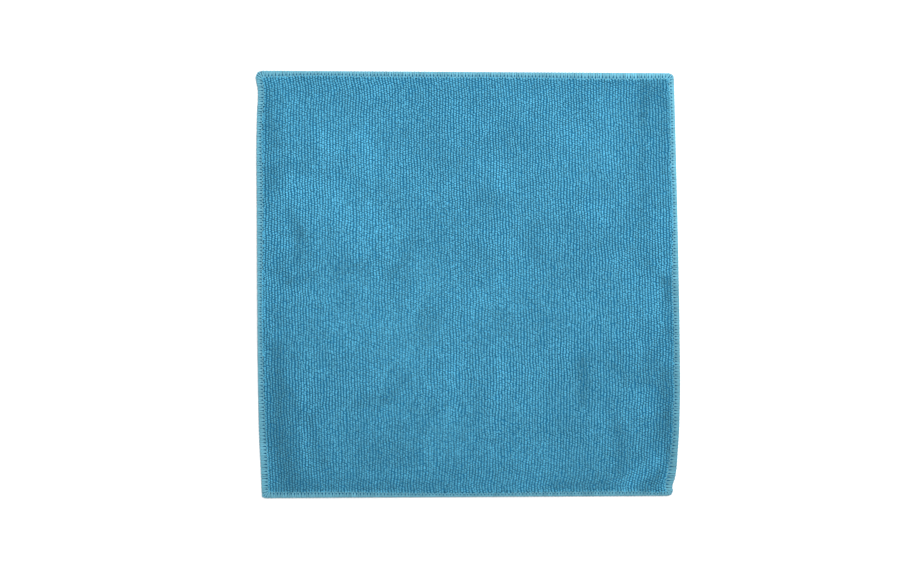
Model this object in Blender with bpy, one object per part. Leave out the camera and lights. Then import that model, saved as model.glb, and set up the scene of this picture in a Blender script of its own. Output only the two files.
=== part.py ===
"""A microfibre cleaning cloth that lies flat: ribbed terry inside an overlocked edge.

Metres, +Z up. The origin is under the middle of the cloth, on the surface it lies on.
The ribs run along Y. Lengths below are in millimetres, and set_point turns them to metres.
"""
import math

import bmesh
import bpy
import numpy as np

MM = 0.001

# The cloth as it was cut, flat.
CUT_WIDTH = 400.0
CUT_LENGTH = 404.0

# Where its left and right edges lie, from the near hem to the far hem. The corner
# of the far left and that of the near right stand out a little.
#   y, x
LEFT_EDGE = (
    (-203.0, -194.7),
    (-176.0, -195.8),
    (-150.0, -197.1),
    (-110.0, -198.2),
    (-15.0, -199.1),
    (80.0, -199.6),
    (125.0, -199.9),
    (160.0, -199.5),
    (186.0, -198.9),
    (196.0, -200.7),
    (203.0, -200.7),
)
RIGHT_EDGE = (
    (-203.0, 194.2),
    (-197.0, 194.2),
    (-192.0, 193.5),
    (-184.0, 195.8),
    (-157.0, 198.7),
    (-105.0, 200.7),
    (-60.0, 200.5),
    (32.0, 199.0),
    (127.0, 196.8),
    (203.0, 194.8),
)
# The hems are straight: y at the left and right end of the near one, then of the far one.
NEAR_HEM = (-202.2, -200.0)
FAR_HEM = (202.2, 199.9)

# Corners: near left, near right, far right, far left.
CORNER_RADII = (2.4, 5.2, 4.6, 5.8)
SHARPEST_CORNER = 0.6
CORNER_STEPS = 4
SIDE_STEPS = 26

# Width of the overlocked band on the near, right, far and left sides.
BAND_WIDTHS = (4.3, 4.8, 5.4, 5.1)

# Its section, from the underside round the edge to the furrow at the seam.
#   share of the band's width, height
BAND_SECTION = (
    (0.18, 0.0),
    (0.0, 0.7),
    (0.0, 1.25),
    (0.18, 1.9),
    (0.8, 1.95),
    (1.0, 1.3),
)

# The terry starts where the pile stands up again, inside the furrow.
FIELD_START = 1.26
RIB_COUNT = 145
RIB_ROWS = 13
CREST_HEIGHTS = (2.5, 2.65)
FURROW_HEIGHTS = (1.9, 2.25)
RIB_SWAY = 0.45
SWAY_LENGTH = 118.0
SWAY_SHIFT = 61.0
SWAY_SLANT = 0.6
RIB_SEED = 12

# The underside is plain, on a grid fine enough for the folds.
BACK_START = 1.7
BACK_STEPS = 24

# Soft folds, each a ridge along a line. The cloth lies on the surface between them.
#   from x, from y, to x, to y, half width, rise
FOLDS = (
    (183.0, 78.0, 184.0, -178.0, 6.5, 1.1),
    (98.0, -60.0, 99.0, -124.0, 7.5, 1.0),
    (120.0, -64.0, 119.0, -130.0, 7.0, 1.0),
    (-152.0, -38.0, -150.0, -170.0, 10.0, 1.3),
    (-173.0, 170.0, -172.0, 86.0, 8.0, 0.9),
    (-164.0, 75.0, -146.0, 28.0, 8.0, 1.1),
    (-156.0, -14.0, -76.0, -15.0, 12.0, 1.1),
    (-62.0, -76.0, -84.0, -104.0, 9.0, 1.0),
    (-84.0, -104.0, -126.0, -107.0, 11.0, 0.9),
    (164.0, -158.0, 175.0, -188.0, 8.0, 1.2),
    (-140.0, -172.0, 112.0, -174.0, 11.0, 0.7),
    (-136.0, 140.0, -92.0, 106.0, 19.0, 0.8),
    (112.0, 78.0, 138.0, 68.0, 17.0, 0.7),
    (24.0, 112.0, 38.0, 96.0, 16.0, 0.6),
    (-200.0, 140.0, -199.0, -70.0, 5.0, 0.7),
)
# Where folds meet, the higher one rules, the more so the higher this power is.
FOLD_BLEND = 3.0
# Taken off every fold, so that the cloth between them touches the surface.
FOLD_FOOT = 0.12

PILE_BLUE = (0.060, 0.283, 0.451, 1.0)
PILE_ROUGHNESS = 0.9


def between(low, high, share):
    return low + (high - low) * share


def smooth_through(table, at):
    """A table's second column at a value of its first, on a smooth curve through the rows."""
    keys = [row[0] for row in table]
    values = [row[1] for row in table]
    slopes = np.gradient(values, keys)
    low = int(np.clip(np.searchsorted(keys, at) - 1, 0, len(keys) - 2))
    step = keys[low + 1] - keys[low]
    share = (at - keys[low]) / step
    ease = share * share * (3.0 - 2.0 * share)
    leaving = share * (1.0 - share) ** 2 * slopes[low]
    arriving = share * share * (share - 1.0) * slopes[low + 1]
    return between(values[low], values[low + 1], ease) + (leaving + arriving) * step


def lie(across, along):
    """Where a point of the cut cloth lies, from its distances to the left edge and near hem."""
    share = across / CUT_WIDTH
    y = between(between(*NEAR_HEM, share), between(*FAR_HEM, share), along / CUT_LENGTH)
    x = between(smooth_through(LEFT_EDGE, y), smooth_through(RIGHT_EDGE, y), share)
    return x, y


def fold_height(x, y):
    """How far the folds hold the cloth off the surface."""
    together = 0.0
    for from_x, from_y, to_x, to_y, half_width, rise in FOLDS:
        run_x, run_y = to_x - from_x, to_y - from_y
        share = ((x - from_x) * run_x + (y - from_y) * run_y) / (run_x ** 2 + run_y ** 2)
        share = min(max(share, 0.0), 1.0)
        gap = math.hypot(x - from_x - run_x * share, y - from_y - run_y * share)
        together += (rise * math.exp(-(gap / half_width) ** 2)) ** FOLD_BLEND
    return max(together ** (1.0 / FOLD_BLEND) - FOLD_FOOT, 0.0)


def set_point(bm, across, along, height):
    """A vertex over one point of the cut cloth, raised by the folds there."""
    x, y = lie(across, along)
    return bm.verts.new((x * MM, y * MM, (height + fold_height(x, y)) * MM))


def inner_box(start):
    """The cut cloth less a share of the band on each side: left, right, near, far."""
    near, right, far, left = [start * width for width in BAND_WIDTHS]
    return left, CUT_WIDTH - right, near, CUT_LENGTH - far


def corner_arc(number, start):
    """The rounded corner of a line that runs at one share of the band's width."""
    left, right, near, far = inner_box(start)
    corner_x, corner_y = ((left, near), (right, near), (right, far), (left, far))[number]
    inward_x, inward_y = ((1, 1), (-1, 1), (-1, -1), (1, -1))[number]
    radius = max(CORNER_RADII[number] - start * min(BAND_WIDTHS), SHARPEST_CORNER)
    middle_x = corner_x + inward_x * radius
    middle_y = corner_y + inward_y * radius
    turns = [math.pi / 2 * (number + 2 + step / CORNER_STEPS) for step in range(CORNER_STEPS + 1)]
    return [(middle_x + radius * math.cos(turn), middle_y + radius * math.sin(turn)) for turn in turns]


def rim_line(bm, start, height):
    """A closed line round the cloth, as four sides that each run from corner to corner."""
    half = CORNER_STEPS // 2
    corners = [corner_arc(number, start) for number in range(4)]
    sides = []
    for number in range(4):
        leaving, arriving = corners[number], corners[(number + 1) % 4]
        straight = [(between(leaving[-1][0], arriving[0][0], step / SIDE_STEPS),
                     between(leaving[-1][1], arriving[0][1], step / SIDE_STEPS))
                    for step in range(1, SIDE_STEPS)]
        places = leaving[half:] + straight + arriving[:half]
        sides.append([set_point(bm, across, along, height) for across, along in places])
    return [side + [sides[(number + 1) % 4][0]] for number, side in enumerate(sides)]


def sheet(bm, start, columns, rows, height_at, sway_at):
    """A grid of quads inside the band, and its border as four sides like those of a rim line."""
    left, right, near, far = inner_box(start)
    points = []
    for row in range(rows + 1):
        along = between(near, far, row / rows)
        line = []
        for column in range(columns + 1):
            across = between(left, right, column / columns)
            line.append(set_point(bm, across + sway_at(across, along), along, height_at(column)))
        points.append(line)
    for row in range(rows):
        for column in range(columns):
            bm.faces.new((points[row][column], points[row][column + 1],
                          points[row + 1][column + 1], points[row + 1][column]))
    right_side = [line[-1] for line in points]
    left_side = [line[0] for line in points]
    return [points[0], right_side, points[-1][::-1], left_side[::-1]]


def join_lines(bm, outer, inner):
    """Fill between two closed lines, side by side, whatever number of points each has."""
    for outer_side, inner_side in zip(outer, inner):
        origin = outer_side[0].co
        run = (outer_side[-1].co - origin).normalized()
        outer_reach = [(point.co - origin).dot(run) for point in outer_side] + [math.inf]
        inner_reach = [(point.co - origin).dot(run) for point in inner_side] + [math.inf]
        a = b = 0
        while a < len(outer_side) - 1 or b < len(inner_side) - 1:
            if outer_reach[a + 1] <= inner_reach[b + 1]:
                bm.faces.new((outer_side[a], outer_side[a + 1], inner_side[b]))
                a += 1
            else:
                bm.faces.new((outer_side[a], inner_side[b + 1], inner_side[b]))
                b += 1


def rib_sway(across, along):
    """How far the ribs wander sideways, none at the two side edges."""
    wander = math.sin(2 * math.pi * (along + across * SWAY_SLANT) / SWAY_LENGTH + across / SWAY_SHIFT)
    return RIB_SWAY * wander * math.sin(math.pi * across / CUT_WIDTH)


def build_cloth():
    bm = bmesh.new()
    band = [rim_line(bm, start, height) for start, height in BAND_SECTION]
    for lower, upper in zip(band, band[1:]):
        join_lines(bm, lower, upper)

    uneven = np.random.default_rng(RIB_SEED)

    def rib_height(column):
        return uneven.uniform(*(FURROW_HEIGHTS if column % 2 else CREST_HEIGHTS))

    terry = sheet(bm, FIELD_START, 2 * (RIB_COUNT - 1), RIB_ROWS, rib_height, rib_sway)
    join_lines(bm, band[-1], terry)

    back = sheet(bm, BACK_START, BACK_STEPS, BACK_STEPS, lambda column: 0.0, lambda across, along: 0.0)
    join_lines(bm, band[0], back)

    bmesh.ops.triangulate(bm, faces=bm.faces[:], quad_method="SHORT_EDGE")
    bmesh.ops.recalc_face_normals(bm, faces=bm.faces[:])
    mesh = bpy.data.meshes.new("cloth")
    bm.to_mesh(mesh)
    bm.free()
    mesh.shade_smooth()
    return mesh


def pile_material():
    material = bpy.data.materials.new("pile")
    material.use_nodes = True
    surface = material.node_tree.nodes["Principled BSDF"]
    surface.inputs["Base Color"].default_value = PILE_BLUE
    surface.inputs["Roughness"].default_value = PILE_ROUGHNESS
    surface.inputs["Metallic"].default_value = 0.0
    return material


for old in list(bpy.data.objects):
    bpy.data.objects.remove(old)

cloth = bpy.data.objects.new("cloth", build_cloth())
cloth.data.materials.append(pile_material())
bpy.context.collection.objects.link(cloth)
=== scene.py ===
"""A microfibre cleaning cloth, dressed for its picture.

Its knit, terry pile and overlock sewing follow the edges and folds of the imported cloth.
Places on the cloth are in millimetres: across from its left edge, and along from its near hem.
"""
import math

import bpy
import numpy as np
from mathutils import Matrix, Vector


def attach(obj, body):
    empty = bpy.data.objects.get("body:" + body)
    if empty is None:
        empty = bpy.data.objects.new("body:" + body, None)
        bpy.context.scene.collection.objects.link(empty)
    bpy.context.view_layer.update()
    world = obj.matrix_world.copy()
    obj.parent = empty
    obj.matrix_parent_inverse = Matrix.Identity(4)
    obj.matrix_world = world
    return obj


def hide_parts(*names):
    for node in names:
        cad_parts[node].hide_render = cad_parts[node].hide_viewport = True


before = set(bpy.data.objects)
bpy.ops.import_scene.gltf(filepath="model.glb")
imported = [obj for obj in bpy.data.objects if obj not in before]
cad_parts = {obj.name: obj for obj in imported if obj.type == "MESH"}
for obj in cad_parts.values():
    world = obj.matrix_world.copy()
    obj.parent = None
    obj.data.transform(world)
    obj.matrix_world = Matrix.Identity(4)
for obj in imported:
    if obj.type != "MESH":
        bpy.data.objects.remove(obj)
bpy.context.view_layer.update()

# --- Camera -------------------------------------------------------------------------------
# A long lens straight above the cloth. The middle of the picture is a little to the left
# of the middle of the cloth.

MM = 0.001
LENS = 85.0
SENSOR = 36.0
PICTURE = (900, 567)
CLOTH_MIDDLE_PIXEL = (467.9, 284.4)
# One pixel shows this much of the cloth, at the height of its pile.
PIXEL = 0.9479
PILE_FACE = 2.5

lens = bpy.data.cameras.new("camera")
lens.lens = LENS
lens.sensor_width = SENSOR
camera = bpy.data.objects.new("camera", lens)
camera.location = (
    (PICTURE[0] / 2 - CLOTH_MIDDLE_PIXEL[0]) * PIXEL * MM,
    (CLOTH_MIDDLE_PIXEL[1] - PICTURE[1] / 2) * PIXEL * MM,
    (PILE_FACE + PICTURE[0] * PIXEL * LENS / SENSOR) * MM,
)
bpy.context.collection.objects.link(camera)
bpy.context.scene.camera = camera

# --- Studio -------------------------------------------------------------------------------
# A plain white floor that runs on out of sight, under white surroundings. One large soft
# light leans in from the far right, so that the far hem and the right edge are the brightest.
# The studio is in metres. Its floor is a hair below the cloth.

FLOOR_REACH = 12.0
FLOOR_DROP = 0.0001
FLOOR_WHITE = (0.92, 0.92, 0.92, 1.0)
FLOOR_ROUGHNESS = 0.9
SURROUND_WHITE = (1.0, 1.0, 1.0, 1.0)
SURROUND_STRENGTH = 0.95
SOFTBOX_PLACE = (0.55, 0.85, 1.2)
SOFTBOX_SIZE = 1.0
SOFTBOX_POWER = 24.0

floor_mesh = bpy.data.meshes.new("floor")
floor_corners = [(x * FLOOR_REACH, y * FLOOR_REACH, -FLOOR_DROP)
                 for x, y in ((-1, -1), (1, -1), (1, 1), (-1, 1))]
floor_mesh.from_pydata(floor_corners, [], [(0, 1, 2, 3)])
floor = bpy.data.objects.new("floor", floor_mesh)
bpy.context.collection.objects.link(floor)
white = bpy.data.materials.new("white floor")
white.use_nodes = True
white.node_tree.nodes["Principled BSDF"].inputs["Base Color"].default_value = FLOOR_WHITE
white.node_tree.nodes["Principled BSDF"].inputs["Roughness"].default_value = FLOOR_ROUGHNESS
floor_mesh.materials.append(white)

surroundings = bpy.data.worlds.new("surroundings")
surroundings.use_nodes = True
surroundings.node_tree.nodes["Background"].inputs["Color"].default_value = SURROUND_WHITE
surroundings.node_tree.nodes["Background"].inputs["Strength"].default_value = SURROUND_STRENGTH
bpy.context.scene.world = surroundings
bpy.context.scene.view_settings.view_transform = "Standard"

softbox = bpy.data.lights.new("softbox", "AREA")
softbox.size = SOFTBOX_SIZE
softbox.energy = SOFTBOX_POWER
softbox_stand = bpy.data.objects.new("softbox", softbox)
softbox_stand.location = SOFTBOX_PLACE
softbox_stand.rotation_euler = (-Vector(SOFTBOX_PLACE)).to_track_quat("-Z", "Y").to_euler()
softbox_stand.visible_camera = False
bpy.context.collection.objects.link(softbox_stand)

# --- Knit ---------------------------------------------------------------------------------
# The ground of the cloth: one panel of warp-knitted microfibre, which holds the roots of
# the terry. Its underside has the same ribs, pressed flat by its own weight, and its
# trimmed edge is the core that the overlock wraps. It lies on the floor in low, soft folds.

CUT_WIDTH = 400.0
CUT_LENGTH = 404.0

# Where the left and right edges lie, from the near hem to the far one.
#   y, x
LEFT_EDGE = (
    (-203.0, -194.7),
    (-176.0, -195.8),
    (-150.0, -197.1),
    (-110.0, -198.2),
    (-15.0, -199.1),
    (80.0, -199.6),
    (125.0, -199.9),
    (160.0, -199.5),
    (186.0, -198.9),
    (196.0, -200.7),
    (203.0, -200.7),
)
RIGHT_EDGE = (
    (-203.0, 194.2),
    (-197.0, 194.2),
    (-192.0, 193.5),
    (-184.0, 195.8),
    (-157.0, 198.7),
    (-105.0, 200.7),
    (-60.0, 200.5),
    (32.0, 199.0),
    (127.0, 196.8),
    (203.0, 194.8),
)
# The hems are straight: y at the left and right end of the near one, then of the far one.
NEAR_HEM = (-202.2, -200.0)
FAR_HEM = (202.2, 199.9)

# Corners: near left, near right, far right, far left. Sides: near, right, far, left.
CORNER_RADII = (2.4, 5.2, 4.6, 5.8)
BAND_WIDTHS = (4.3, 4.8, 5.4, 5.1)

# Soft folds, each a ridge along a line. The cloth lies on the floor between them.
#   from x, from y, to x, to y, half width, rise
FOLDS = (
    (183.0, 78.0, 184.0, -178.0, 6.5, 1.1),
    (98.0, -60.0, 99.0, -124.0, 7.5, 1.0),
    (120.0, -64.0, 119.0, -130.0, 7.0, 1.0),
    (-152.0, -38.0, -150.0, -170.0, 10.0, 1.3),
    (-173.0, 170.0, -172.0, 86.0, 8.0, 0.9),
    (-164.0, 75.0, -146.0, 28.0, 8.0, 1.1),
    (-156.0, -14.0, -76.0, -15.0, 12.0, 1.1),
    (-62.0, -76.0, -84.0, -104.0, 9.0, 1.0),
    (-84.0, -104.0, -126.0, -107.0, 11.0, 0.9),
    (164.0, -158.0, 175.0, -188.0, 8.0, 1.2),
    (-140.0, -172.0, 112.0, -174.0, 11.0, 0.7),
    (-136.0, 140.0, -92.0, 106.0, 19.0, 0.8),
    (112.0, 78.0, 138.0, 68.0, 17.0, 0.7),
    (24.0, 112.0, 38.0, 96.0, 16.0, 0.6),
    (-200.0, 140.0, -199.0, -70.0, 5.0, 0.7),
)
# Where folds meet, the higher one rules, the more so the higher this power is.
FOLD_BLEND = 3.0
# Taken off every fold, so that the cloth between them touches the floor.
FOLD_FOOT = 0.12

# The edge of the knit inside the overlock.
#   share of the band's width, height
CORE_TOP = ((0.08, 1.1), (0.3, 1.3), (0.7, 1.1), (1.0, 1.0), (1.26, 1.45))
CORE_BOTTOM = ((0.08, 0.75), (0.35, 0.5), (1.0, 0.5), (1.4, 0.1))
# The pile hides the top of the knit, so its grid is only as fine as the folds need.
TOP_STEPS = 72

# Upright ribs and rows of stitches. On the underside each rib has nubs that touch the floor
# or nearly do, with a furrow beside them.
WALES = 147
COURSES = 185
NUB_HEIGHTS = (0.0, 0.12)
FURROW_HEIGHTS = (0.35, 0.6)

SEED = 46
chance = np.random.default_rng(SEED)


def between(low, high, share):
    """From the low end to the high end by a share, for numbers, rows of them and wires."""
    return low + (high - low) * share


def smooth_through(table, at):
    """A table's second column at values of its first, on a smooth curve through the rows."""
    keys, values = np.array(table).T
    slopes = np.gradient(values, keys)
    low = np.clip(np.searchsorted(keys, at) - 1, 0, len(keys) - 2)
    step = keys[low + 1] - keys[low]
    share = (at - keys[low]) / step
    ease = share * share * (3 - 2 * share)
    leaving = share * (1 - share) ** 2 * slopes[low]
    arriving = share * share * (share - 1) * slopes[low + 1]
    return between(values[low], values[low + 1], ease) + (leaving + arriving) * step


def trimmed(across, along):
    """The same place with the cloth's square corners trimmed round."""
    for (right, far), radius in zip(((0, 0), (1, 0), (1, 1), (0, 1)), CORNER_RADII):
        toward_side = radius - (CUT_WIDTH - across if right else across)
        toward_hem = radius - (CUT_LENGTH - along if far else along)
        corner = (toward_side > 0) & (toward_hem > 0)
        reach = np.where(corner, np.hypot(toward_side, toward_hem), 1.0)
        drawn_in = np.where(corner, 1 - np.maximum(toward_side, toward_hem) / reach, 0.0)
        across = across + toward_side * drawn_in * (-1 if right else 1)
        along = along + toward_hem * drawn_in * (-1 if far else 1)
    return across, along


def nearness(x, y, from_x, from_y, to_x, to_y, half_width):
    """1 on a line and softly less away from it, down to 0 at about twice the half width."""
    run_x, run_y = to_x - from_x, to_y - from_y
    share = ((x - from_x) * run_x + (y - from_y) * run_y) / (run_x ** 2 + run_y ** 2)
    share = np.clip(share, 0, 1)
    gap = np.hypot(x - from_x - run_x * share, y - from_y - run_y * share)
    return np.exp(-(gap / half_width) ** 2)


def fold_height(x, y):
    """How far the folds hold the cloth off the floor."""
    together = sum((rise * nearness(x, y, *line)) ** FOLD_BLEND for *line, rise in FOLDS)
    return np.maximum(together ** (1 / FOLD_BLEND) - FOLD_FOOT, 0)


def laid(across, along, height):
    """Where points of the cut cloth lie, as rows of x, y and z."""
    across, along, height = np.broadcast_arrays(across, along, height)
    across, along = trimmed(across, along)
    share = across / CUT_WIDTH
    y = between(between(*NEAR_HEM, share), between(*FAR_HEM, share), along / CUT_LENGTH)
    x = between(smooth_through(LEFT_EDGE, y), smooth_through(RIGHT_EDGE, y), share)
    return np.stack((x, y, height + fold_height(x, y)), axis=-1)


def depth_in_bands(across, along):
    """How far inside the edge a place is, in widths of that side's overlocked band."""
    near, right, far, left = BAND_WIDTHS
    sides = (along / near, (CUT_WIDTH - across) / right, (CUT_LENGTH - along) / far, across / left)
    return np.minimum.reduce(np.broadcast_arrays(*sides))


def make_piece(name, points, faces, finish, marks, map_corners=None):
    """A smooth mesh from rows of x, y and z and rows of point numbers, with its marks by name."""
    mesh = bpy.data.meshes.new(name)
    mesh.vertices.add(len(points))
    mesh.vertices.foreach_set("co", (points * MM).astype(np.float32).ravel())
    mesh.loops.add(faces.size)
    mesh.loops.foreach_set("vertex_index", faces.astype(np.int32).ravel())
    mesh.polygons.add(len(faces))
    starts = np.arange(0, faces.size, faces.shape[1], dtype=np.int32)
    mesh.polygons.foreach_set("loop_start", starts)
    mesh.update(calc_edges=True)
    mesh.shade_smooth()
    for title, values in marks.items():
        kind, key = ("FLOAT_VECTOR", "vector") if values.ndim == 2 else ("FLOAT", "value")
        mark = mesh.attributes.new(title, kind, "POINT")
        mark.data.foreach_set(key, values.astype(np.float32).ravel())
    if map_corners is not None:
        layer = mesh.uv_layers.new(name="OFBake")
        layer.data.foreach_set("uv", map_corners.astype(np.float32).ravel())
    mesh.materials.append(finish)
    piece = bpy.data.objects.new(name, mesh)
    bpy.context.collection.objects.link(piece)
    return piece


class Wire:
    """An output in a finish's nodes. A sum of wires and numbers adds its Math nodes."""

    def __init__(self, tree, socket=None):
        self.tree = tree
        self.socket = socket

    def node(self, kind, settings, values, output=0):
        """Any node: its settings first, then a value or a wire for each of its sockets."""
        made = self.tree.nodes.new(kind)
        for name, setting in settings.items():
            setattr(made, name, setting)
        for name, value in values.items():
            if isinstance(value, Wire):
                self.tree.links.new(value.socket, made.inputs[name])
            else:
                made.inputs[name].default_value = value
        return Wire(self.tree, made.outputs[output])

    def maths(self, operation, first, second):
        """A Math node between two wires, or a wire and a number."""
        return self.node("ShaderNodeMath", {"operation": operation}, {0: first, 1: second})

    def __add__(self, other):
        return self.maths("ADD", self, other)

    def __sub__(self, other):
        return self.maths("SUBTRACT", self, other)

    def __rsub__(self, other):
        return self.maths("SUBTRACT", other, self)

    def __mul__(self, other):
        return self.maths("MULTIPLY", self, other)

    __radd__ = __add__
    __rmul__ = __mul__

    def mark(self, name, output="Fac"):
        """One of a piece's marks, which make_piece gave it."""
        return self.node("ShaderNodeAttribute", {"attribute_name": name}, {}, output)

    def noise(self, place, scale, detail=2.0):
        """Noise from 0 to 1, even about 0.5."""
        values = {"Vector": place, "Scale": scale, "Detail": detail}
        return self.node("ShaderNodeTexNoise", {}, values)

    def mixed(self, low, high, share):
        """A colour between two colours. Sockets 6 and 7 and output 2 of a Mix are its colours."""
        values = {"Factor": share, 6: low, 7: high}
        return self.node("ShaderNodeMix", {"data_type": "RGBA"}, values, 2)

    def scaled(self, colour, factor):
        """A colour made darker or lighter."""
        values = {0: colour, "Scale": factor}
        return self.node("ShaderNodeVectorMath", {"operation": "SCALE"}, values)


# How little the fibres shine, and how widely their sheen spreads.
FIBRE_SHINE = 0.1
SHEEN_ROUGHNESS = 0.5


def fabric(name, roughness, sheen, sheen_tint):
    """A new matt finish with a soft sheen, a wire to paint it with, and its surface."""
    finish = bpy.data.materials.new(name)
    finish.use_nodes = True
    surface = finish.node_tree.nodes["Principled BSDF"]
    surface.inputs["Roughness"].default_value = roughness
    surface.inputs["Specular IOR Level"].default_value = FIBRE_SHINE
    surface.inputs["Sheen Weight"].default_value = sheen
    surface.inputs["Sheen Roughness"].default_value = SHEEN_ROUGHNESS
    surface.inputs["Sheen Tint"].default_value = sheen_tint
    return finish, Wire(finish.node_tree), surface


def feed(surface, name, wire):
    """Join a wire to one of a surface's sockets."""
    wire.tree.links.new(wire.socket, surface.inputs[name])


def bump(surface, height, depth):
    """Raise a surface by a height, from 0 to 1 over a depth in millimetres."""
    raised = height.node("ShaderNodeBump", {}, {"Height": height, "Distance": depth * MM})
    feed(surface, "Normal", raised)


# The knit is painted a darker blue than the pile: painted shade, where it shows deep between the
# loops and in the needle holes.
KNIT_DARK = (0.007, 0.106, 0.213, 1.0)
KNIT_LIGHT = (0.021, 0.174, 0.320, 1.0)
KNIT_ROUGHNESS = 0.95
KNIT_SHEEN = 0.1
KNIT_SHEEN_TINT = (0.5, 0.8, 1.0, 1.0)
# The grain that the stitches give the knit: how fine it is, how crisp, and how deep.
GRAIN_SCALE = 420.0
GRAIN_DETAIL = 6.0
GRAIN_DEPTH = 0.8

knit_finish, paint, surface = fabric("knit", KNIT_ROUGHNESS, KNIT_SHEEN, KNIT_SHEEN_TINT)
here = paint.node("ShaderNodeTexCoord", {}, {}, "Object")
grain = paint.noise(here, GRAIN_SCALE, GRAIN_DETAIL)
feed(surface, "Base Color", paint.mixed(KNIT_DARK, KNIT_LIGHT, grain))
bump(surface, grain, GRAIN_DEPTH)


def grid_faces(columns, rows):
    """Two triangles for each cell of a grid of points, which is numbered along its columns."""
    corner = (np.arange(columns - 1)[:, None] * rows + np.arange(rows - 1)).ravel()
    first = np.stack((corner, corner + rows, corner + rows + 1), axis=-1)
    second = np.stack((corner, corner + rows + 1, corner + 1), axis=-1)
    return np.concatenate((first, second))


def grid_border(columns, rows):
    """The point numbers of a grid's four sides, from the near left corner round to the left."""
    numbers = np.arange(columns * rows).reshape(columns, rows)
    return [numbers[:, 0], numbers[-1, :], numbers[::-1, -1], numbers[0, ::-1]]


def joining_faces(points, outer, inner):
    """Triangles between two closed lines, side by side, whatever number of points each has."""
    faces = []
    for outer_side, inner_side in zip(outer, inner):
        origin = points[outer_side[0]]
        run = points[outer_side[-1]] - origin
        outer_reach = np.append((points[outer_side] - origin) @ run, np.inf)
        inner_reach = np.append((points[inner_side] - origin) @ run, np.inf)
        a = b = 0
        while a < len(outer_side) - 1 or b < len(inner_side) - 1:
            if outer_reach[a + 1] <= inner_reach[b + 1]:
                faces.append((outer_side[a], outer_side[a + 1], inner_side[b]))
                a += 1
            else:
                faces.append((outer_side[a], inner_side[b + 1], inner_side[b]))
                b += 1
    return np.array(faces)


def grid_lines(section, left_band, right_band, whole, steps):
    """Lines over the cloth: at each share of a section's band on both sides, even between."""
    shares = np.array(section)[:, 0]
    left, right = shares * left_band, whole - shares[::-1] * right_band
    return np.concatenate((left, np.linspace(left[-1], right[0], steps + 1)[1:-1], right))


near_band, right_band, far_band, left_band = BAND_WIDTHS
top_across = grid_lines(CORE_TOP, left_band, right_band, CUT_WIDTH, TOP_STEPS)[:, None]
top_along = grid_lines(CORE_TOP, near_band, far_band, CUT_LENGTH, TOP_STEPS)[None, :]
top_height = np.interp(depth_in_bands(top_across, top_along), *np.array(CORE_TOP).T)
top = laid(top_across, top_along, top_height)

# Two lines of points to a wale, one on its nubs and one in the furrow.
under_across = grid_lines(CORE_BOTTOM, left_band, right_band, CUT_WIDTH, 2 * WALES)[:, None]
under_along = grid_lines(CORE_BOTTOM, near_band, far_band, CUT_LENGTH, COURSES)[None, :]
under_depth = depth_in_bands(under_across, under_along)
nubs = chance.uniform(*NUB_HEIGHTS, under_depth.shape)
nubs[1::2] = chance.uniform(*FURROW_HEIGHTS, nubs[1::2].shape)
under_height = np.interp(under_depth, *np.array(CORE_BOTTOM).T)
under_height = np.where(under_depth > CORE_BOTTOM[-1][0], nubs, under_height)
under = laid(under_across, under_along, under_height)

top_size, under_size = top.shape[:2], under.shape[:2]
knit_points = np.concatenate((top.reshape(-1, 3), under.reshape(-1, 3)))
under_start = top_size[0] * top_size[1]
top_border = grid_border(*top_size)
under_border = [side + under_start for side in grid_border(*under_size)]
knit_faces = np.concatenate((
    grid_faces(*top_size),
    grid_faces(*under_size)[:, ::-1] + under_start,
    joining_faces(knit_points, under_border, top_border),
))
knit = make_piece("cloth_knit", knit_points, knit_faces, knit_finish, {})
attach(knit, "root")
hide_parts("cloth")

# --- Terry pile ---------------------------------------------------------------------------
# Short loops of split microfibre yarn, one at each crossing of a wale and a course. The
# loops of a wale stand behind each other and read as a fine upright rib. They lean as
# the cloth was last brushed and folded. Its darker and lighter patches are painted shade
# and light in the pile's colour, for its folds, the lay of its pile and the falling light.

PILE_ROOT = 1.35
LOOP_LENGTH = 1.85
LOOP_WIDTH = 2.35
LOOP_RISE = 0.8
YARN_HALF = 0.42
FOOT_DEPTH = 0.35
# A loop's yarn draws in to this share of its width at the feet.
FOOT_WIDTH = 0.65
# The loops are made as this many pieces, side by side.
STRIPS = 5

# The row of needle holes in the overlock wanders, and the pile starts a little inside it.
#   way round the edge from the near left corner, distance of the holes from the edge
HOLE_ROW = (
    (0.0, 4.4),
    (22.0, 3.8),
    (60.0, 3.8),
    (98.0, 3.3),
    (136.0, 2.4),
    (230.0, 1.8),
    (288.0, 2.4),
    (360.0, 2.7),
    (396.0, 2.7),
    (406.0, 5.0),
    (418.0, 6.6),
    (432.0, 5.8),
    (450.0, 4.4),
    (490.0, 4.2),
    (560.0, 3.7),
    (600.0, 4.4),
    (640.0, 3.3),
    (680.0, 2.7),
    (715.0, 3.4),
    (760.0, 2.6),
    (804.0, 3.2),
    (850.0, 4.2),
    (960.0, 3.6),
    (1110.0, 3.2),
    (1150.0, 2.7),
    (1204.0, 4.4),
    (1228.0, 3.8),
    (1262.0, 2.9),
    (1300.0, 3.6),
    (1380.0, 3.2),
    (1416.0, 2.5),
    (1490.0, 3.1),
    (1530.0, 4.1),
    (1580.0, 5.0),
    (1608.0, 4.4),
)
FIRST_WALE = 3.7
FIRST_COURSE = 3.6
# How far inside the holes the pile starts. Loops less than the crowded width short of that
# are pushed in to the start by the seam, and those nearer the edge were trimmed away.
PILE_GAP = 1.8
CROWDED = 1.3
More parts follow.
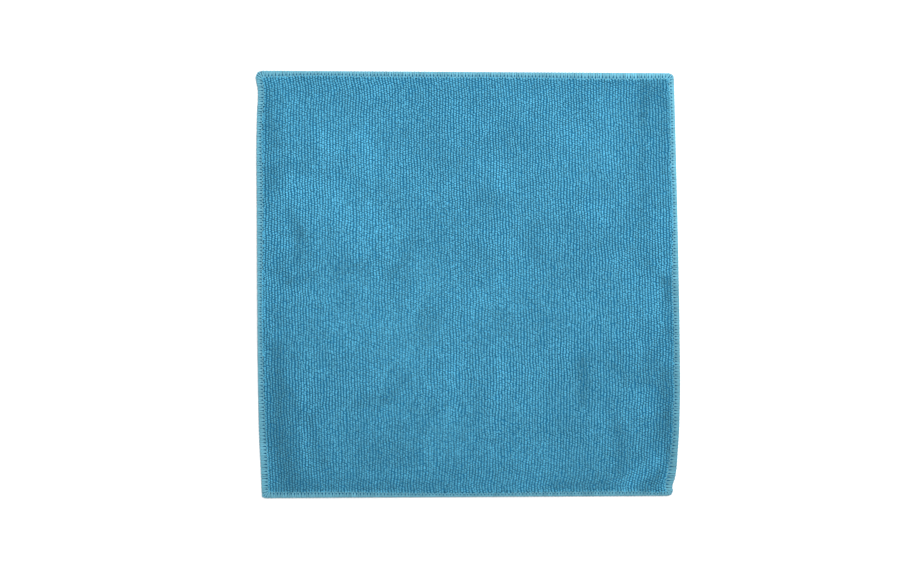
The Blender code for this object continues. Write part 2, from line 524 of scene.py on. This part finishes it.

# Painted shade and light in the pile's colour, each along a line: for its folds, the lay of
# its pile, the shadow beside the curled right edge, and less light toward the near hem.
#   from x, from y, to x, to y, half width, shade
PAINTED_SHADE_AND_LIGHT = (
    (-182.0, -62.0, -178.0, -120.0, 8.0, -0.26),
    (-178.0, -140.0, -168.0, -195.0, 14.0, -0.28),
    (-172.0, -100.0, -160.0, -122.0, 6.0, -0.14),
    (-148.0, -128.0, -141.0, -168.0, 6.0, -0.14),
    (-183.0, -26.0, -180.0, -33.0, 6.0, -0.14),
    (-184.0, 148.0, -182.0, 133.0, 7.0, -0.15),
    (-184.0, 108.0, -183.0, 90.0, 6.0, -0.17),
    (-176.0, 118.0, -156.0, 111.0, 6.0, -0.08),
    (-170.0, 69.0, -159.0, 48.0, 5.0, -0.14),
    (-159.0, 48.0, -160.0, 24.0, 6.0, -0.14),
    (-182.0, 16.0, -170.0, 2.0, 7.0, -0.10),
    (-170.0, 2.0, -148.0, 8.0, 6.0, -0.12),
    (-125.0, 15.0, -100.0, 13.0, 7.0, -0.08),
    (-73.0, 11.0, -58.0, 23.0, 5.0, -0.12),
    (-45.0, 44.0, -38.0, 30.0, 8.0, -0.10),
    (8.0, 38.0, 15.0, 27.0, 7.0, -0.10),
    (61.0, 43.0, 65.0, 31.0, 7.0, -0.12),
    (13.0, 80.0, 28.0, 79.0, 7.0, -0.12),
    (168.0, 188.0, 166.0, 160.0, 6.0, -0.18),
    (166.0, 160.0, 166.0, 56.0, 5.0, -0.12),
    (180.0, 183.0, 187.0, 172.0, 7.0, -0.14),
    (170.0, 22.0, 186.0, 2.0, 4.0, -0.14),
    (108.0, -72.0, 109.0, -113.0, 5.5, -0.24),
    (131.0, -51.0, 148.0, -70.0, 4.0, -0.11),
    (139.0, -80.0, 149.0, -88.0, 7.0, -0.13),
    (172.0, -68.0, 171.0, -92.0, 7.0, -0.13),
    (184.0, -80.0, 184.0, -142.0, 6.0, -0.14),
    (134.0, -112.0, 140.0, -138.0, 6.0, -0.11),
    (144.0, -138.0, 146.0, -178.0, 6.0, -0.17),
    (166.0, -194.0, 186.0, -178.0, 7.0, -0.22),
    (150.0, -190.0, 180.0, -168.0, 8.0, 0.13),
    (-150.0, -190.0, -20.0, -192.0, 7.0, -0.12),
    (82.0, -190.0, 130.0, -190.0, 6.0, -0.16),
    (-99.0, -163.0, -58.0, -166.0, 10.0, -0.08),
    (-104.0, -113.0, -76.0, -108.0, 6.0, -0.09),
    (-76.0, -108.0, -59.0, -89.0, 6.0, -0.11),
    (-36.0, -33.0, -12.0, -31.0, 8.0, -0.07),
    (-200.0, -200.0, 200.0, -200.0, 85.0, -0.10),
    (-137.0, 144.0, -132.0, 127.0, 8.0, 0.15),
    (-97.0, 145.0, -93.0, 108.0, 11.0, 0.14),
    (-165.0, 95.0, -128.0, 92.0, 14.0, 0.13),
    (-156.0, 66.0, -148.0, 60.0, 12.0, 0.09),
    (-120.0, 66.0, -84.0, 62.0, 16.0, 0.10),
    (-119.0, 42.0, -99.0, 28.0, 8.0, 0.08),
    (-182.0, 46.0, -172.0, 38.0, 9.0, 0.15),
    (-168.0, 188.0, -161.0, 172.0, 9.0, 0.08),
    (-99.0, 174.0, -85.0, 186.0, 7.0, 0.10),
    (-8.0, 158.0, 20.0, 152.0, 9.0, 0.07),
    (27.0, 112.0, 33.0, 92.0, 7.0, 0.13),
    (10.0, 112.0, 20.0, 108.0, 9.0, 0.07),
    (130.0, 158.0, 136.0, 112.0, 9.0, 0.10),
    (112.0, 70.0, 128.0, 62.0, 8.0, 0.11),
    (95.0, 92.0, 128.0, 94.0, 12.0, 0.05),
    (142.0, 52.0, 150.0, 46.0, 8.0, 0.06),
    (31.0, 5.0, 33.0, -14.0, 6.0, 0.10),
    (-90.0, 16.0, -86.0, 8.0, 5.0, 0.10),
    (182.0, 64.0, 182.0, 14.0, 5.0, 0.10),
    (179.0, -4.0, 180.0, -48.0, 5.0, 0.08),
    (-155.0, -98.0, -155.0, -170.0, 4.0, 0.10),
    (160.0, -102.0, 166.0, -120.0, 7.0, 0.11),
    (-14.0, -70.0, -14.0, -125.0, 8.0, 0.07),
    (31.0, -68.0, 31.0, -108.0, 7.0, 0.08),
    (45.0, -20.0, 60.0, -42.0, 7.0, 0.10),
    (34.0, -54.0, 60.0, -64.0, 12.0, 0.06),
    (95.0, -60.0, 96.0, -68.0, 9.0, 0.12),
    (191.0, 2.0, 192.0, -166.0, 5.0, -0.14),
    (190.0, -56.0, 190.0, -72.0, 5.0, 0.08),
    (184.0, 196.0, 187.0, 110.0, 7.0, -0.08),
    (-190.0, 188.0, -191.0, 70.0, 6.0, -0.09),
    (-170.0, 8.0, -170.0, -68.0, 6.0, -0.04),
    (-66.0, -40.0, -72.0, -72.0, 9.0, -0.07),
    (-38.0, 16.0, -50.0, 6.0, 8.0, -0.10),
    (-90.0, 76.0, -86.0, 52.0, 7.0, 0.06),
    (-148.0, 36.0, -168.0, 34.0, 6.0, 0.06),
    (-22.0, -146.0, -8.0, -142.0, 8.0, -0.07),
    (54.0, 54.0, 66.0, 56.0, 7.0, -0.07),
    (-166.0, 82.0, -98.0, 76.0, 14.0, 0.09),
    (-110.0, 57.0, -104.0, 53.0, 10.0, 0.09),
    (-132.0, 122.0, -102.0, 135.0, 10.0, 0.08),
    (92.0, 76.0, 140.0, 72.0, 12.0, 0.09),
    (-70.0, 156.0, -88.0, 158.0, 9.0, 0.07),
    (-90.0, 34.0, -72.0, 32.0, 8.0, 0.07),
    (28.0, -56.0, 30.0, -130.0, 9.0, 0.07),
    (46.0, -25.0, 54.0, -30.0, 8.0, 0.05),
    (92.0, -66.0, 150.0, -42.0, 8.0, 0.05),
    (146.0, -26.0, 152.0, -30.0, 7.0, 0.05),
    (26.0, 98.0, 34.0, 92.0, 8.0, 0.07),
    (0.0, 118.0, 24.0, 112.0, 8.0, 0.05),
    (-10.0, 96.0, -8.0, 74.0, 8.0, 0.04),
    (190.0, 4.0, 190.0, -12.0, 6.0, -0.20),
    (190.0, -84.0, 190.0, -130.0, 6.0, -0.13),
    (190.0, -158.0, 189.0, -168.0, 5.0, -0.16),
    (188.0, -182.0, 191.0, -192.0, 6.0, 0.16),
    (170.0, 196.0, 168.0, 172.0, 7.0, -0.10),
    (-190.0, 184.0, -190.0, 150.0, 5.0, -0.09),
    (176.0, -20.0, 186.0, -26.0, 7.0, -0.06),
    (62.0, 190.0, 185.0, 192.0, 8.0, -0.08),
    (160.0, 148.0, 190.0, 146.0, 8.0, -0.08),
    (-57.0, 36.0, -66.0, -26.0, 9.0, -0.10),
    (80.0, -2.0, 80.0, -18.0, 6.0, -0.09),
    (-136.0, -152.0, -132.0, -176.0, 7.0, -0.09),
    (-190.0, -80.0, -190.0, -120.0, 5.0, -0.08),
    (130.0, -182.0, 146.0, -188.0, 7.0, -0.08),
    (-46.0, -42.0, -50.0, -88.0, 9.0, -0.06),
    (-30.0, 80.0, -28.0, 70.0, 7.0, -0.05),
    (84.0, 118.0, 92.0, 112.0, 7.0, -0.05),
    (-34.0, 16.0, -38.0, -48.0, 10.0, -0.05),
    (-92.0, 0.0, -88.0, -8.0, 7.0, -0.05),
)

# Patches where use has felted the loops together, so that the ribs show less.
#   from x, from y, to x, to y, half width, share
FELTED = (
    (-120.0, -35.0, -60.0, -45.0, 38.0, 0.8),
    (-70.0, -90.0, -30.0, -120.0, 45.0, 0.7),
    (-120.0, -185.0, 120.0, -190.0, 34.0, 0.8),
    (-40.0, 5.0, 70.0, -10.0, 26.0, 0.5),
    (-120.0, -140.0, 60.0, -150.0, 24.0, 0.4),
    (-110.0, 120.0, -70.0, 10.0, 75.0, 0.65),
    (-20.0, 20.0, 30.0, -60.0, 60.0, 0.40),
)

# Use has also felted the whole cloth a little, from nothing up to a most. Felted loops are
# wider and flatter, and their painted root shade and light tips blend into one.
FELT_USUAL = 0.15
FELT_MOST = 0.66
FELT_WIDENS = 0.15
FELT_FLATTENS = 0.35
FELTED_TIP = 0.54
FELT_BLENDS = 0.9

# How uneven the loops are: their places and leans in millimetres, their twist in radians,
# and the rest in shares. Each row is one or more random swells over the grid of loops.
#   amount, reach in wales, reach in courses
UNEVEN = {
    "place across": ((0.22, 0.7, 1.0), (0.12, 0.0, 0.0), (0.18, 2.0, 2.2), (0.20, 6.0, 3.0)),
    "place along": ((0.09, 0.5, 2.5), (0.10, 0.0, 0.0)),
    "felt": ((0.30, 3.5, 4.5),),
    "lean across": ((0.10, 0.0, 0.0),),
    "lean along": ((0.15, 3.0, 3.0), (0.22, 0.0, 0.0)),
    "twist": ((0.30, 0.0, 0.0),),
    "size": ((0.03, 0.0, 0.0),),
    "width": ((0.06, 0.3, 0.5),),
    "rise": ((0.05, 0.0, 0.0),),
    "shade": ((0.05, 0.0, 0.0), (0.03, 4.0, 5.0)),
}


def uneven(what):
    """How much each loop of the grid departs from the usual one in some respect."""
    together = 0.0
    for amount, wales_reach, courses_reach in UNEVEN[what]:
        waves = np.fft.fft2(chance.standard_normal((WALES, COURSES)))
        across = np.fft.fftfreq(WALES)[:, None] * wales_reach
        along = np.fft.fftfreq(COURSES)[None, :] * courses_reach
        swells = np.fft.ifft2(waves * np.exp(-2 * np.pi ** 2 * (across ** 2 + along ** 2))).real
        together = together + amount * (swells / swells.std())
    return together


def cell_map(count, inside, margin):
    """Map corners for a number of like things, each with a cell of the square to itself."""
    cells = math.ceil(math.sqrt(count))
    cell = np.stack((np.arange(count) % cells, np.arange(count) // cells), axis=-1)
    inside = between(margin, 1 - margin, inside.reshape(-1, 2))
    return ((cell[:, None] + inside) / cells).reshape(-1, 2)


# One loop: a foot, four rings of yarn over the arch, and the other foot. Each ring has a
# left side, a ridge and a right side. In the map the hidden underside has a narrow band.
RINGS = 4
RING_POINTS = 3
MAP_BANDS = (0.0, 0.44, 0.88, 1.0)
MAP_MARGIN = 0.06
foot = 0
rings = [1 + RING_POINTS * number for number in range(RINGS)]
last_foot = 1 + RING_POINTS * RINGS
loop_faces = []
loop_map = []
for here_side in range(RING_POINTS):
    next_side = (here_side + 1) % RING_POINTS
    low, high = MAP_BANDS[here_side], MAP_BANDS[here_side + 1]
    loop_faces.append((foot, rings[0] + next_side, rings[0] + here_side))
    loop_map.append(((0, (low + high) / 2), (1, high), (1, low)))
    for step, (ring, next_ring) in enumerate(zip(rings, rings[1:])):
        start, end = step + 1, step + 2
        loop_faces.append((ring + here_side, next_ring + next_side, next_ring + here_side))
        loop_map.append(((start, low), (end, high), (end, low)))
        loop_faces.append((ring + here_side, ring + next_side, next_ring + next_side))
        loop_map.append(((start, low), (start, high), (end, high)))
    loop_faces.append((rings[-1] + here_side, rings[-1] + next_side, last_foot))
    loop_map.append(((RINGS, low), (RINGS, high), (RINGS + 1, (low + high) / 2)))
loop_faces = np.array(loop_faces)
loop_map = np.array(loop_map, float) / (RINGS + 1, 1)


def beside_seam(distance, way):
    """Loops' distances to an edge, crowded in to where the pile starts, and which loops stand."""
    start = smooth_through(HOLE_ROW, way) + PILE_GAP
    crowded = np.where(distance > start - CROWDED, np.maximum(distance, start), distance)
    return crowded, distance > start - CROWDED


wale_lines = np.linspace(FIRST_WALE, CUT_WIDTH - FIRST_WALE, WALES)
course_lines = np.linspace(FIRST_COURSE, CUT_LENGTH - FIRST_COURSE, COURSES)
loop_across = wale_lines[:, None] + uneven("place across")
loop_along = course_lines[None, :] + uneven("place along")
# Every second wale is half a course further along.
loop_along[1::2] += (course_lines[1] - course_lines[0]) / 2

# The way round the edge runs on from side to side, starting at the near left corner.
half_round = CUT_WIDTH + CUT_LENGTH
loop_along, near_standing = beside_seam(loop_along, loop_across)
to_right, right_standing = beside_seam(CUT_WIDTH - loop_across, CUT_WIDTH + loop_along)
loop_across = CUT_WIDTH - to_right
to_far, far_standing = beside_seam(CUT_LENGTH - loop_along, half_round + CUT_WIDTH - loop_across)
loop_along = CUT_LENGTH - to_far
loop_across, left_standing = beside_seam(loop_across, 2 * half_round - loop_along)
standing = near_standing & right_standing & far_standing & left_standing

middle_x, middle_y, _ = np.moveaxis(laid(loop_across, loop_along, 0.0), -1, 0)
felt = np.clip(FELT_USUAL + uneven("felt"), 0, FELT_MOST)
felt = felt + sum(share * nearness(middle_x, middle_y, *line) for *line, share in FELTED)
lean_across = uneven("lean across")
lean_along = uneven("lean along")
twist = uneven("twist")
loop_size = 1 + uneven("size")
loop_width = (1 + uneven("width")) * (1 + FELT_WIDENS * felt)
loop_rise = (1 + uneven("rise")) * (1 - FELT_FLATTENS * felt)
# The pile's painted shade and light from those patches, times a random tone of each loop.
shade = 1 + sum(change * nearness(middle_x, middle_y, *line) for *line, change in PAINTED_SHADE_AND_LIGHT)
shade *= 1 + uneven("shade")

# The points of one loop: its path is half round from foot to foot, and each point is on the
# ridge of the yarn or to one side of the path.
side = np.array([0.0] + [-1.0, 0.0, 1.0] * RINGS + [0.0])
ridge = np.array([0.0] + [0.0, 1.0, 0.0] * RINGS + [0.0])
station = np.repeat(np.arange(RINGS + 2), [1] + [RING_POINTS] * RINGS + [1])
turns = np.pi * station / (RINGS + 1)
arch = np.sin(turns)
point_along = -np.cos(turns) * (LOOP_LENGTH / 2 + YARN_HALF * ridge)
point_up = between(-FOOT_DEPTH, LOOP_RISE, arch) + arch * YARN_HALF * ridge
point_side = side * LOOP_WIDTH / 2 * between(FOOT_WIDTH, 1, arch) * loop_width[..., None]

# Every loop, turned, leaning and in its place.
spin = twist[..., None]
size = loop_size[..., None]
across_points = loop_across[..., None] + lean_across[..., None] * arch
across_points = across_points + size * (point_side * np.cos(spin) - point_along * np.sin(spin))
along_points = loop_along[..., None] + lean_along[..., None] * arch
along_points = along_points + size * (point_side * np.sin(spin) + point_along * np.cos(spin))
up_points = PILE_ROOT + point_up * loop_rise[..., None]
pile_points = laid(across_points, along_points, up_points)

# The higher this power, the lower down a loop its painted root shade gives way to its tip.
TIP_POWER = 4
# The yarn's own place in its noise: how fast that changes across the yarn, from ring to ring
# and from loop to loop.
YARN_ACROSS = 0.3
YARN_STEP = 0.35
YARN_APART = 9.0

tips = 1 - (1 - np.clip(point_up / (LOOP_RISE + YARN_HALF), 0, 1)) ** TIP_POWER
tips = between(tips, FELTED_TIP, np.minimum(felt[..., None], FELT_BLENDS))
shades = np.broadcast_to(shade[..., None], across_points.shape)
yarn_apart = YARN_APART * chance.random((WALES, COURSES))[..., None]
yarn_way = np.broadcast_arrays(side * YARN_ACROSS, station * YARN_STEP, yarn_apart)
yarn_way = np.stack(yarn_way, axis=-1)

# The blue of the pile's tips, and a darker blue at the roots that is painted shade down between the
# loops.
PILE_ROOT_PAINTED_SHADE = (0.007, 0.144, 0.278, 1.0)
PILE_TIP_BLUE = (0.073, 0.334, 0.506, 1.0)
PILE_ROUGHNESS = 0.9
PILE_SHEEN = 0.1
PILE_SHEEN_TINT = (0.3, 0.75, 1.0, 1.0)
# The yarn is split into filaments: on some the painted root shade gives way to the light tip, and
# on some it hardly does.
FILAMENT_SCALE = 1.4
FILAMENT_SPREAD = 3.4
FILAMENT_CUT = 0.1
# Its strands run along it, so their noise is drawn out that way.
STRAND_STRETCH = (14.0, 1.6, 1.0)
STRAND_SCALE = 1.4
STRAND_DEPTH = 0.22
# Fibre ends give it specks, and uneven dye gives the cloth faint blotches.
END_SCALE = 1300.0
BLOTCH_SCALE = 70.0
BLOTCH_DETAIL = 3.0
# The darkest and the lightest shade of each.
STRAND_SHADES = (0.55, 1.45)
END_SHADES = (0.5, 1.5)
BLOTCH_SHADES = (0.95, 1.05)

pile_finish, paint, surface = fabric("terry pile", PILE_ROUGHNESS, PILE_SHEEN, PILE_SHEEN_TINT)
here = paint.node("ShaderNodeTexCoord", {}, {}, "Object")
yarn = paint.mark("yarn", "Vector")
stretch = {0: yarn, 1: STRAND_STRETCH}
drawn_out = paint.node("ShaderNodeVectorMath", {"operation": "MULTIPLY"}, stretch)
filaments = paint.noise(yarn, FILAMENT_SCALE)
strands = paint.noise(drawn_out, STRAND_SCALE)
ends = paint.noise(here, END_SCALE, detail=0.0)
blotches = paint.noise(here, BLOTCH_SCALE, BLOTCH_DETAIL)
light = paint.mark("tip") * (filaments * FILAMENT_SPREAD - FILAMENT_CUT)
spots = between(*BLOTCH_SHADES, blotches) * between(*END_SHADES, ends)
spots = spots * between(*STRAND_SHADES, strands)
blue = paint.mixed(PILE_ROOT_PAINTED_SHADE, PILE_TIP_BLUE, light)
feed(surface, "Base Color", paint.scaled(blue, paint.mark("shade") * spots))
bump(surface, strands, STRAND_DEPTH)

for number, wales in enumerate(np.array_split(np.arange(WALES), STRIPS)):
    kept = standing[wales]
    count = kept.sum()
    starts = np.arange(count)[:, None, None] * len(station)
    faces = (loop_faces + starts).reshape(-1, 3)
    corners = cell_map(count, loop_map, MAP_MARGIN)
    marks = {
        "tip": tips[wales][kept].ravel(),
        "shade": shades[wales][kept].ravel(),
        "yarn": yarn_way[wales][kept].reshape(-1, 3),
    }
    points = pile_points[wales][kept].reshape(-1, 3)
    strip = make_piece(f"terry_{number + 1}", points, faces, pile_finish, marks, corners)
    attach(strip, "root")

# --- Overlock -----------------------------------------------------------------------------
# Three threads of soft, bulked polyester sewn round the trimmed edge: one that zigzags over
# the top from the needle holes to the edge, one that does the same below and comes up over
# the edge between, and the needle's, which runs in the furrow and ties both down.

STITCH = 3.37

# Each thread through one stitch. The part of a stitch is from -0.5 to 0.5 round its needle
# hole, the tilt is how far its flat side faces outward, in degrees, and the fullness is how
# far the bulked yarn has opened.
#   part of the stitch, share of the band's width, height, tilt, fullness
OVER_THREAD = (
    (-0.50, -0.10, 0.95, 85.0, 1.0),
    (-0.39, -0.06, 1.30, 62.0, 1.2),
    (-0.28, 0.06, 1.66, 35.0, 1.6),
    (-0.25, 0.24, 1.82, 8.0, 1.7),
    (-0.28, 0.44, 1.86, 0.0, 1.4),
    (-0.35, 0.62, 1.84, 0.0, 0.9),
    (-0.33, 0.80, 1.80, -5.0, 0.8),
    (-0.18, 0.98, 1.84, -10.0, 0.9),
    (0.04, 1.03, 1.86, -10.0, 1.0),
    (0.27, 0.90, 1.82, -5.0, 0.8),
    (0.35, 0.68, 1.84, 0.0, 0.9),
    (0.28, 0.46, 1.86, 0.0, 1.4),
    (0.24, 0.24, 1.82, 8.0, 1.7),
    (0.29, 0.06, 1.66, 35.0, 1.6),
    (0.39, -0.06, 1.30, 62.0, 1.2),
)
UNDER_THREAD = (
    (-0.50, 0.98, 0.32, 180.0, 1.0),
    (-0.38, 0.85, 0.26, 180.0, 1.0),
    (-0.33, 0.55, 0.26, 180.0, 1.0),
    (-0.28, 0.25, 0.28, 165.0, 1.0),
    (-0.20, 0.00, 0.50, 125.0, 1.0),
    (-0.13, -0.07, 1.00, 85.0, 1.0),
    (-0.06, 0.02, 1.55, 45.0, 1.0),
    (0.06, 0.02, 1.55, 45.0, 1.0),
    (0.13, -0.07, 1.00, 85.0, 1.0),
    (0.20, 0.00, 0.50, 125.0, 1.0),
    (0.28, 0.25, 0.28, 165.0, 1.0),
    (0.33, 0.55, 0.26, 180.0, 1.0),
    (0.38, 0.85, 0.26, 180.0, 1.0),
)
NEEDLE_THREAD = (
    (-0.50, 0.86, 1.80, 0.0, 1.0),
    (-0.34, 0.86, 1.84, 0.0, 1.0),
    (-0.17, 0.84, 1.50, 0.0, 1.0),
    (-0.06, 0.80, 0.80, 0.0, 1.0),
    (0.06, 0.80, 0.80, 0.0, 1.0),
    (0.17, 0.84, 1.50, 0.0, 1.0),
    (0.34, 0.86, 1.84, 0.0, 1.0),
)
# The slant is how much of a stitch a thread runs on by, on its way in over the band.
#   rows, slant, half width, half thickness, sides
THREADS = {
    "overlock_over": (OVER_THREAD, 0.08, 0.50, 0.30, 6),
    "overlock_under": (UNDER_THREAD, 0.0, 0.50, 0.26, 5),
    "overlock_needle": (NEEDLE_THREAD, 0.0, 0.24, 0.20, 5),
}

# The seam runs along each side and turns a corner of the cloth in a small arc, with its
# stitches closer there. The corner run is how much of a side its stitches would cover.
SEAM_TURN = 2.6
CORNER_RUN = 9.0
# The needle goes in at this share of the way from the edge to the seam.
HOLE_SHARE = 0.71
BANDS = np.array(BAND_WIDTHS)
SIDES = np.array((CUT_WIDTH, CUT_LENGTH, CUT_WIDTH, CUT_LENGTH))
SIDE_STARTS = np.cumsum(SIDES) - SIDES
STRAIGHTS = SIDES - np.roll(BANDS, 1) - np.roll(BANDS, -1) - 2 * SEAM_TURN
SEAM_ENDS = np.cumsum(STRAIGHTS + CORNER_RUN)
STITCHES = round(SEAM_ENDS[-1] / STITCH)
# Keeps the sine or cosine of a corner's turn off nought.
LEAST_TURN = 0.01


def seam_place(round_seam, depth):
    """Across and along of places a way round the seam, at a share of the way in to it."""
    round_seam = round_seam % SEAM_ENDS[-1]
    number = np.searchsorted(SEAM_ENDS, round_seam, side="right")
    reach = round_seam - np.append(0, SEAM_ENDS)[number]
    straight = np.minimum(reach, STRAIGHTS[number])
    corner = (reach - straight) / CORNER_RUN
    turned = corner * np.pi / 2
    band, last_band, next_band = BANDS[number], BANDS[number - 1], BANDS[(number + 1) % len(BANDS)]
    forward = last_band + SEAM_TURN + straight + SEAM_TURN * np.sin(turned)
    inward = band + SEAM_TURN * (1 - np.cos(turned))
    to_edge = np.minimum(inward / np.cos(turned).clip(LEAST_TURN),
                         (SIDES[number] - forward) / np.sin(turned).clip(LEAST_TURN))
    way = SIDE_STARTS[number] + last_band + SEAM_TURN + straight
    way = way + corner * (band + next_band + 2 * SEAM_TURN)
    holes = smooth_through(HOLE_ROW, way) - HOLE_SHARE * between(band, next_band, corner)
    out = to_edge * (1 - depth) - holes * np.clip(depth / HOLE_SHARE, 0, 1)
    forward = forward + out * np.sin(turned)
    inward = inward - out * np.cos(turned)
    across = np.choose(number, (forward, CUT_WIDTH - inward, CUT_WIDTH - forward, inward))
    along = np.choose(number, (inward, forward, CUT_LENGTH - inward, CUT_LENGTH - forward))
    return across, along


def thread_ways(middle, round_seam, tilt):
    """The way that a thread is thin, tilted outward over the edge, and the way that it is wide."""
    edge = laid(*seam_place(round_seam, np.zeros_like(round_seam)), 0.0).reshape(-1, 3)
    seam = laid(*seam_place(round_seam, np.ones_like(round_seam)), 0.0).reshape(-1, 3)
    outward = (edge - seam) * (1, 1, 0)
    outward /= np.linalg.norm(outward, axis=1, keepdims=True)
    lean = np.radians(np.broadcast_to(tilt, round_seam.shape)).reshape(-1, 1)
    thin_way = outward * np.sin(lean) + np.array((0, 0, 1)) * np.cos(lean)
    run = np.roll(middle, -1, axis=0) - np.roll(middle, 1, axis=0)
    wide_way = np.cross(run, thin_way)
    return thin_way, wide_way / np.linalg.norm(wide_way, axis=1, keepdims=True)


def ring_faces(rings, sides):
    """Faces of four corners from ring to ring of a thread, the last ring back to the first."""
    here = np.arange(rings)[:, None] * sides
    ahead = np.roll(here, -1, axis=0)
    side = np.arange(sides)
    next_side = (side + 1) % sides
    corners = (here + side, ahead + side, ahead + next_side, here + next_side)
    return np.stack(corners, axis=-1).reshape(-1, 4)


def stitch_map(steps, sides):
    """Map corners of the faces of one stitch, along the thread and round it, both from 0 to 1."""
    along = (np.arange(steps)[:, None, None] + (0, 1, 1, 0)) / steps
    around = (np.arange(sides)[:, None] + (0, 0, 1, 1)) / sides
    return np.stack(np.broadcast_arrays(along, around), axis=-1)


# Painted light and shade along the sewing: darker along the near hem and the lower right
# edge, and lighter up the right edge toward the far right corner, where it faces the light.
#   way round the edge from the near left corner, shade
SEWING_PAINTED_LIGHT = (
    (0.0, 0.90),
    (300.0, 0.86),
    (420.0, 0.84),
    (580.0, 0.90),
    (680.0, 1.10),
    (800.0, 1.14),
    (900.0, 1.03),
    (1204.0, 1.00),
    (1608.0, 0.96),
)

# Painted shade at the rounded edge, where the thread turns away from the light; over the seam it is
# a shade lighter.
EDGE_PAINTED_SHADE = 0.9
SEAM_SHADE = 1.03

# How uneven the sewing is, each as a share of its usual size, but for the height, which is
# in millimetres, and the place, which is in stitches.
PLACE_SLIP = 0.025
DEPTH_SLIP = 0.03
HEIGHT_SLIP = 0.03
SWELL_SLIP = 0.08
SHADE_SLIP = 0.06

THREAD_BLUE = (0.080, 0.300, 0.405, 1.0)
THREAD_PALE = (0.165, 0.430, 0.550, 1.0)
THREAD_ROUGHNESS = 0.8
THREAD_SHEEN = 0.15
THREAD_SHEEN_TINT = (0.8, 0.95, 1.0, 1.0)
THREAD_STRAND_SCALE = 2.5
THREAD_STRAND_DEPTH = 0.2
THREAD_MAP_MARGIN = 0.04

thread_finish, paint, surface = fabric(
    "overlock thread", THREAD_ROUGHNESS, THREAD_SHEEN, THREAD_SHEEN_TINT)
strands = paint.noise(paint.mark("yarn", "Vector"), THREAD_STRAND_SCALE)
colour = paint.mixed(THREAD_BLUE, THREAD_PALE, strands)
feed(surface, "Base Color", paint.scaled(colour, paint.mark("shade")))
bump(surface, strands, THREAD_STRAND_DEPTH)

for name, (rows, slant, half_width, half_thick, sides) in THREADS.items():
    # The middle of the thread, stitch by stitch round the cloth.
    part, depth, height, tilt, fullness = np.array(rows).T
    part = part + slant * (depth - 1 / 2)
    shape = (STITCHES, len(rows))
    stitch_start = np.arange(STITCHES)[:, None] + PLACE_SLIP * chance.standard_normal((STITCHES, 1))
    round_seam = (stitch_start + part) * SEAM_ENDS[-1] / STITCHES
    depth = depth * (1 + DEPTH_SLIP * chance.standard_normal((STITCHES, 1)))
    height = height + HEIGHT_SLIP * chance.standard_normal(shape)
    middle = laid(*seam_place(round_seam, depth), height).reshape(-1, 3)

    # A ring of points round each point of its middle.
    thin_way, wide_way = thread_ways(middle, round_seam, tilt)
    turn = 2 * np.pi * np.arange(sides) / sides
    swell = 1 + SWELL_SLIP * chance.standard_normal((len(middle), 1, 1))
    half_widths = np.broadcast_to(half_width * fullness, shape).reshape(-1, 1, 1)
    ring = wide_way[:, None] * np.cos(turn)[:, None] * half_widths
    ring = ring + thin_way[:, None] * np.sin(turn)[:, None] * half_thick
    points = middle[:, None] + ring * swell
    points[..., 2] = np.maximum(points[..., 2], 0)
    points = points.reshape(-1, 3)

    # Its painted light and shade, a random tone of each stitch, and its place in the noise of its
    # strands.
    stitch_shade = smooth_through(SEWING_PAINTED_LIGHT, stitch_start[..., None] * SEWING_PAINTED_LIGHT[-1][0] / STITCHES)
    stitch_shade = stitch_shade * (1 + SHADE_SLIP * chance.standard_normal((STITCHES, 1, 1)))
    stitch_shade = stitch_shade * between(EDGE_PAINTED_SHADE, SEAM_SHADE, np.clip(depth, 0, 1))[..., None]
    along_yarn = np.arange(len(middle))[:, None] * YARN_STEP
    yarn_way = np.stack(np.broadcast_arrays(np.sin(turn), np.cos(turn), along_yarn), axis=-1)
    marks = {
        "shade": np.broadcast_to(stitch_shade, shape + (sides,)).ravel(),
        "yarn": yarn_way.reshape(-1, 3),
    }

    faces = ring_faces(len(middle), sides)
    corners = cell_map(STITCHES, stitch_map(len(rows), sides), THREAD_MAP_MARGIN)
    thread = make_piece(name, points, faces, thread_finish, marks, corners)
    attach(thread, "root")
